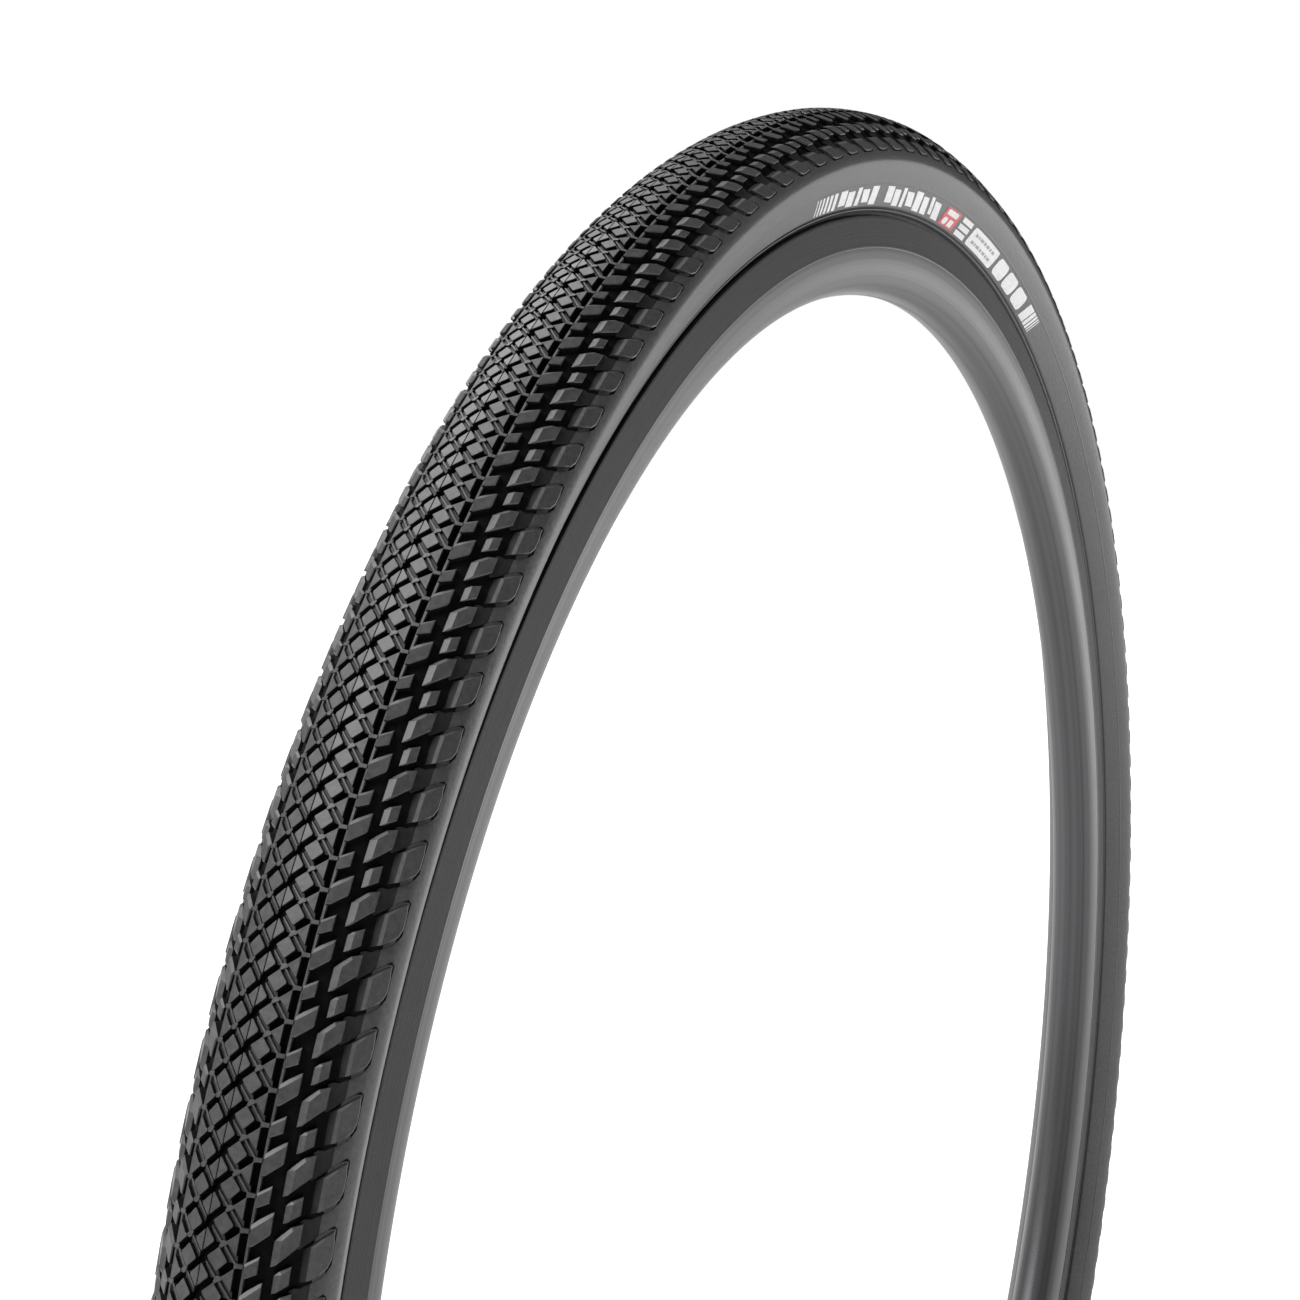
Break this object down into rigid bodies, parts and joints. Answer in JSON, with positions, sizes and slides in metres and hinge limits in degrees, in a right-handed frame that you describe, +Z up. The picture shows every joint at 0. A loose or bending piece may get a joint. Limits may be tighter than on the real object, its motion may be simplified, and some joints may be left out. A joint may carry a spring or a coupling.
{
  "type": "bicycle tire",
  "caption": "Inflated gravel bicycle tyre with a block tread and printed sidewall, seated on a narrow black box-section rim with a tubeless valve.",
  "frame": {"origin": "wheel centre: on the axle line, midway between the two sides of the tyre", "axes": "+Y along the axle towards the right side, +Z up in the plane of the wheel with the valve at the bottom, +X completes the right-handed frame"},
  "size_m": [0.7, 0.0396, 0.7],
  "materials": {
    "tread_rubber": "moulded black rubber, satin",
    "sidewall_rubber": "smooth black rubber with a fine grain",
    "belt_fabric": "dense grey nylon weave",
    "casing_fabric": "rubberised nylon ply",
    "liner_rubber": "smooth airtight rubber",
    "bead_aramid": "bundled yellow aramid strands",
    "label_print": "printed film, white with one red block",
    "rim_alloy": "black anodised, satin, turned brake track",
    "rim_tape": "thin yellow polyester film",
    "valve_alloy": "black anodised",
    "valve_brass": "nickel-free brass, turned",
    "seal_rubber": "soft black rubber",
    "cap_plastic": "black plastic"
  },
  "bodies": {
    "root": {"tread": "tread_rubber", "breaker_belt": "belt_fabric", "casing": "casing_fabric", "inner_liner": "liner_rubber", "sidewall_left": "sidewall_rubber", "sidewall_right": "sidewall_rubber", "sidewall_label_left": "label_print", "sidewall_label_right": "label_print", "bead_core_left": "bead_aramid", "bead_core_right": "bead_aramid", "chafer_left": "belt_fabric", "chafer_right": "belt_fabric", "rim": "rim_alloy", "rim_tape": "rim_tape", "valve_stem": "valve_alloy", "valve_base": "seal_rubber", "valve_o_ring": "seal_rubber", "valve_core_gasket": "seal_rubber", "valve_core": "valve_brass"},
    "rim_nut": {"valve_rim_nut": "valve_alloy"},
    "cap": {"valve_cap": "cap_plastic"},
    "pin": {"valve_pin": "valve_brass", "valve_pin_seal": "seal_rubber"},
    "pin_nut": {"valve_pin_nut": "valve_brass"}
  },
  "joints": [
    {"name": "rim_nut_turn", "type": "hinge", "parent": "root", "child": "rim_nut", "pos_m": [0, 0, -0.2898], "axis": [0, 0, 1], "continuous": true},
    {"name": "cap_pull", "type": "slide", "parent": "root", "child": "cap", "axis": [0, 0, 1], "range_m": [0, 0.03]},
    {"name": "pin_press", "type": "slide", "parent": "root", "child": "pin", "axis": [0, 0, -1], "range_m": [0, 0.0018], "stiffness_N_per_m": 200, "springref_m": -0.0005},
    {"name": "pin_nut_turn", "type": "hinge", "parent": "pin", "child": "pin_nut", "pos_m": [0, 0, -0.2491], "axis": [0, 0, 1], "continuous": true}
  ]
}
